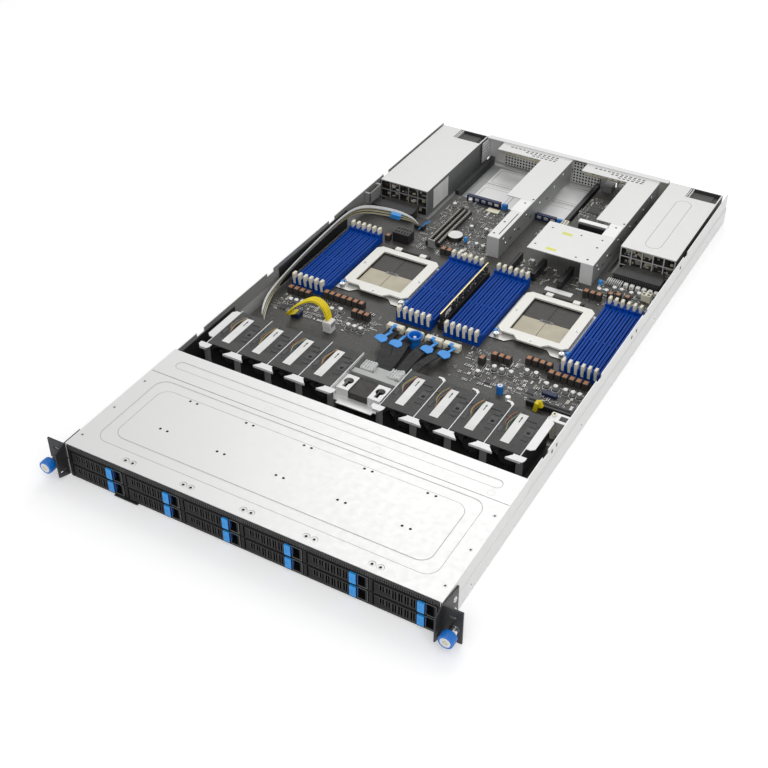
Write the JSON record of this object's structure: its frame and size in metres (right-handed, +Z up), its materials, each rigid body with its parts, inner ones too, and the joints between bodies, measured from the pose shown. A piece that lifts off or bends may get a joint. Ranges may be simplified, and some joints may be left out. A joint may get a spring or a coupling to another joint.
{
  "type": "rack server",
  "caption": "Low two-socket rack server with the rear lid off: front drive trays, fan row, memory banks, processor frames, risers and slide-out power supplies.",
  "frame": {"origin": "middle of the underside of the chassis floor", "axes": "+X to the right seen from the front, +Y to the rear, +Z up"},
  "size_m": [0.4826, 0.875, 0.0439],
  "materials": {
    "zinc_sheet": "zinc-coated sheet, satin",
    "black_sheet": "fine black powder coat",
    "circuit_board": "black solder mask",
    "screw_blue": "blue anodised",
    "dark_plastic": "moulded, matt",
    "socket_plastic": "moulded, matt",
    "bright_steel": "bright nickel plate",
    "memory_blue": "moulded, satin",
    "latch_cream": "moulded, satin",
    "board_components": "moulded and soldered parts",
    "cable_sheath": "soft insulation",
    "tray_metal": "black coated",
    "lever_black": "moulded, satin",
    "supply_case": "zinc-coated sheet, satin",
    "release_plastic": "moulded"
  },
  "bodies": {
    "case": {"chassis": "zinc_sheet", "rear_panel": "zinc_sheet", "front_cover": "zinc_sheet", "fan_bay_cover": "zinc_sheet", "drive_cage": "black_sheet", "backplane": "circuit_board", "rack_ears": "black_sheet", "fan_wall": "zinc_sheet", "fan_housings": "dark_plastic", "centre_bracket": "zinc_sheet", "motherboard": "circuit_board", "processor_sockets": "socket_plastic", "memory_sockets": "memory_blue", "riser_left": "zinc_sheet", "riser_right": "zinc_sheet", "board_parts": "board_components", "internal_cables": "cable_sheath"},
    "tray_1": {"drive_tray_1": "tray_metal"},
    "lever_1": {"tray_lever_1": "lever_black"},
    "tray_2": {"drive_tray_2": "tray_metal"},
    "lever_2": {"tray_lever_2": "lever_black"},
    "tray_3": {"drive_tray_3": "tray_metal"},
    "lever_3": {"tray_lever_3": "lever_black"},
    "tray_4": {"drive_tray_4": "tray_metal"},
    "lever_4": {"tray_lever_4": "lever_black"},
    "tray_5": {"drive_tray_5": "tray_metal"},
    "lever_5": {"tray_lever_5": "lever_black"},
    "tray_6": {"drive_tray_6": "tray_metal"},
    "lever_6": {"tray_lever_6": "lever_black"},
    "tray_7": {"drive_tray_7": "tray_metal"},
    "lever_7": {"tray_lever_7": "lever_black"},
    "tray_8": {"drive_tray_8": "tray_metal"},
    "lever_8": {"tray_lever_8": "lever_black"},
    "tray_9": {"drive_tray_9": "tray_metal"},
    "lever_9": {"tray_lever_9": "lever_black"},
    "tray_10": {"drive_tray_10": "tray_metal"},
    "lever_10": {"tray_lever_10": "lever_black"},
    "tray_11": {"drive_tray_11": "tray_metal"},
    "lever_11": {"tray_lever_11": "lever_black"},
    "tray_12": {"drive_tray_12": "tray_metal"},
    "lever_12": {"tray_lever_12": "lever_black"},
    "fan_1": {"fan_rotor_1": "dark_plastic"},
    "fan_2": {"fan_rotor_2": "dark_plastic"},
    "fan_3": {"fan_rotor_3": "dark_plastic"},
    "fan_4": {"fan_rotor_4": "dark_plastic"},
    "fan_5": {"fan_rotor_5": "dark_plastic"},
    "fan_6": {"fan_rotor_6": "dark_plastic"},
    "fan_7": {"fan_rotor_7": "dark_plastic"},
    "fan_8": {"fan_rotor_8": "dark_plastic"},
    "supply_left": {"power_supply_left": "supply_case"},
    "release_left": {"supply_release_left": "release_plastic"},
    "supply_right": {"power_supply_right": "supply_case"},
    "release_right": {"supply_release_right": "release_plastic"},
    "screw_left": {"thumbscrew_left": "screw_blue"},
    "screw_right": {"thumbscrew_right": "screw_blue"},
    "frame_left": {"socket_frame_left": "bright_steel"},
    "frame_right": {"socket_frame_right": "bright_steel"},
    "latches_front": {"memory_latches_front": "latch_cream"},
    "latches_rear": {"memory_latches_rear": "latch_cream"},
    "tag": {"pull_out_tag": "dark_plastic"}
  },
  "joints": [
    {"name": "tray_1_slide", "type": "slide", "parent": "case", "child": "tray_1", "axis": [0, -1, 0], "range_m": [0, 0.12]},
    {"name": "lever_1_swing", "type": "hinge", "parent": "tray_1", "child": "lever_1", "pos_m": [-0.209, -0.41905, 0.02], "axis": [0, 0, -1], "range_deg": [0, 65]},
    {"name": "tray_2_slide", "type": "slide", "parent": "case", "child": "tray_2", "axis": [0, -1, 0], "range_m": [0, 0.12]},
    {"name": "lever_2_swing", "type": "hinge", "parent": "tray_2", "child": "lever_2", "pos_m": [-0.137, -0.41905, 0.02], "axis": [0, 0, -1], "range_deg": [0, 65]},
    {"name": "tray_3_slide", "type": "slide", "parent": "case", "child": "tray_3", "axis": [0, -1, 0], "range_m": [0, 0.12]},
    {"name": "lever_3_swing", "type": "hinge", "parent": "tray_3", "child": "lever_3", "pos_m": [-0.065, -0.41905, 0.02], "axis": [0, 0, -1], "range_deg": [0, 65]},
    {"name": "tray_4_slide", "type": "slide", "parent": "case", "child": "tray_4", "axis": [0, -1, 0], "range_m": [0, 0.12]},
    {"name": "lever_4_swing", "type": "hinge", "parent": "tray_4", "child": "lever_4", "pos_m": [0.007, -0.41905, 0.02], "axis": [0, 0, -1], "range_deg": [0, 65]},
    {"name": "tray_5_slide", "type": "slide", "parent": "case", "child": "tray_5", "axis": [0, -1, 0], "range_m": [0, 0.12]},
    {"name": "lever_5_swing", "type": "hinge", "parent": "tray_5", "child": "lever_5", "pos_m": [0.079, -0.41905, 0.02], "axis": [0, 0, -1], "range_deg": [0, 65]},
    {"name": "tray_6_slide", "type": "slide", "parent": "case", "child": "tray_6", "axis": [0, -1, 0], "range_m": [0, 0.12]},
    {"name": "lever_6_swing", "type": "hinge", "parent": "tray_6", "child": "lever_6", "pos_m": [0.151, -0.41905, 0.02], "axis": [0, 0, -1], "range_deg": [0, 65]},
    {"name": "tray_7_slide", "type": "slide", "parent": "case", "child": "tray_7", "axis": [0, -1, 0], "range_m": [0, 0.12]},
    {"name": "lever_7_swing", "type": "hinge", "parent": "tray_7", "child": "lever_7", "pos_m": [-0.209, -0.41905, 0.02], "axis": [0, 0, -1], "range_deg": [0, 65]},
    {"name": "tray_8_slide", "type": "slide", "parent": "case", "child": "tray_8", "axis": [0, -1, 0], "range_m": [0, 0.12]},
    {"name": "lever_8_swing", "type": "hinge", "parent": "tray_8", "child": "lever_8", "pos_m": [-0.137, -0.41905, 0.02], "axis": [0, 0, -1], "range_deg": [0, 65]},
    {"name": "tray_9_slide", "type": "slide", "parent": "case", "child": "tray_9", "axis": [0, -1, 0], "range_m": [0, 0.12]},
    {"name": "lever_9_swing", "type": "hinge", "parent": "tray_9", "child": "lever_9", "pos_m": [-0.065, -0.41905, 0.02], "axis": [0, 0, -1], "range_deg": [0, 65]},
    {"name": "tray_10_slide", "type": "slide", "parent": "case", "child": "tray_10", "axis": [0, -1, 0], "range_m": [0, 0.12]},
    {"name": "lever_10_swing", "type": "hinge", "parent": "tray_10", "child": "lever_10", "pos_m": [0.007, -0.41905, 0.02], "axis": [0, 0, -1], "range_deg": [0, 65]},
    {"name": "tray_11_slide", "type": "slide", "parent": "case", "child": "tray_11", "axis": [0, -1, 0], "range_m": [0, 0.12]},
    {"name": "lever_11_swing", "type": "hinge", "parent": "tray_11", "child": "lever_11", "pos_m": [0.079, -0.41905, 0.02], "axis": [0, 0, -1], "range_deg": [0, 65]},
    {"name": "tray_12_slide", "type": "slide", "parent": "case", "child": "tray_12", "axis": [0, -1, 0], "range_m": [0, 0.12]},
    {"name": "lever_12_swing", "type": "hinge", "parent": "tray_12", "child": "lever_12", "pos_m": [0.151, -0.41905, 0.02], "axis": [0, 0, -1], "range_deg": [0, 65]},
    {"name": "fan_1_spin", "type": "hinge", "parent": "case", "child": "fan_1", "pos_m": [-0.1757, -0.17125, 0.0222], "axis": [0, 1, 0], "continuous": true},
    {"name": "fan_2_spin", "type": "hinge", "parent": "case", "child": "fan_2", "pos_m": [-0.1343, -0.17125, 0.0222], "axis": [0, 1, 0], "continuous": true},
    {"name": "fan_3_spin", "type": "hinge", "parent": "case", "child": "fan_3", "pos_m": [-0.0929, -0.17125, 0.0222], "axis": [0, 1, 0], "continuous": true},
    {"name": "fan_4_spin", "type": "hinge", "parent": "case", "child": "fan_4", "pos_m": [-0.0515, -0.17125, 0.0222], "axis": [0, 1, 0], "continuous": true},
    {"name": "fan_5_spin", "type": "hinge", "parent": "case", "child": "fan_5", "pos_m": [0.0515, -0.17125, 0.0222], "axis": [0, 1, 0], "continuous": true},
    {"name": "fan_6_spin", "type": "hinge", "parent": "case", "child": "fan_6", "pos_m": [0.0929, -0.17125, 0.0222], "axis": [0, 1, 0], "continuous": true},
    {"name": "fan_7_spin", "type": "hinge", "parent": "case", "child": "fan_7", "pos_m": [0.1343, -0.17125, 0.0222], "axis": [0, 1, 0], "continuous": true},
    {"name": "fan_8_spin", "type": "hinge", "parent": "case", "child": "fan_8", "pos_m": [0.1757, -0.17125, 0.0222], "axis": [0, 1, 0], "continuous": true},
    {"name": "supply_left_slide", "type": "slide", "parent": "case", "child": "supply_left", "axis": [0, 1, 0], "range_m": [0, 0.2]},
    {"name": "release_left_press", "type": "hinge", "parent": "supply_left", "child": "release_left", "pos_m": [-0.2082, 0.42135, 0.0175], "axis": [0, 0, -1], "range_deg": [0, 12], "stiffness_Nm_per_rad": 0.05},
    {"name": "supply_right_slide", "type": "slide", "parent": "case", "child": "supply_right", "axis": [0, 1, 0], "range_m": [0, 0.2]},
    {"name": "release_right_press", "type": "hinge", "parent": "supply_right", "child": "release_right", "pos_m": [0.1448, 0.42135, 0.0175], "axis": [0, 0, -1], "range_deg": [0, 12], "stiffness_Nm_per_rad": 0.05},
    {"name": "screw_left_turn", "type": "hinge", "parent": "case", "child": "screw_left", "pos_m": [-0.2332, -0.42125, 0.0185], "axis": [0, 1, 0], "continuous": true},
    {"name": "screw_right_turn", "type": "hinge", "parent": "case", "child": "screw_right", "pos_m": [0.2332, -0.42125, 0.0185], "axis": [0, 1, 0], "continuous": true},
    {"name": "frame_left_lift", "type": "hinge", "parent": "case", "child": "frame_left", "pos_m": [-0.104, 0.11473, 0.0161], "axis": [-1, 0, 0], "range_deg": [0, 110]},
    {"name": "frame_right_lift", "type": "hinge", "parent": "case", "child": "frame_right", "pos_m": [0.11, 0.11473, 0.0161], "axis": [-1, 0, 0], "range_deg": [0, 110]},
    {"name": "latches_front_tip", "type": "hinge", "parent": "case", "child": "latches_front", "pos_m": [0, -0.01595, 0.0166], "axis": [1, 0, 0], "range_deg": [0, 30]},
    {"name": "latches_rear_tip", "type": "hinge", "parent": "case", "child": "latches_rear", "pos_m": [0, 0.12745, 0.0166], "axis": [-1, 0, 0], "range_deg": [0, 30]},
    {"name": "tag_slide", "type": "slide", "parent": "case", "child": "tag", "axis": [0, -1, 0], "range_m": [0, 0.055]}
  ]
}
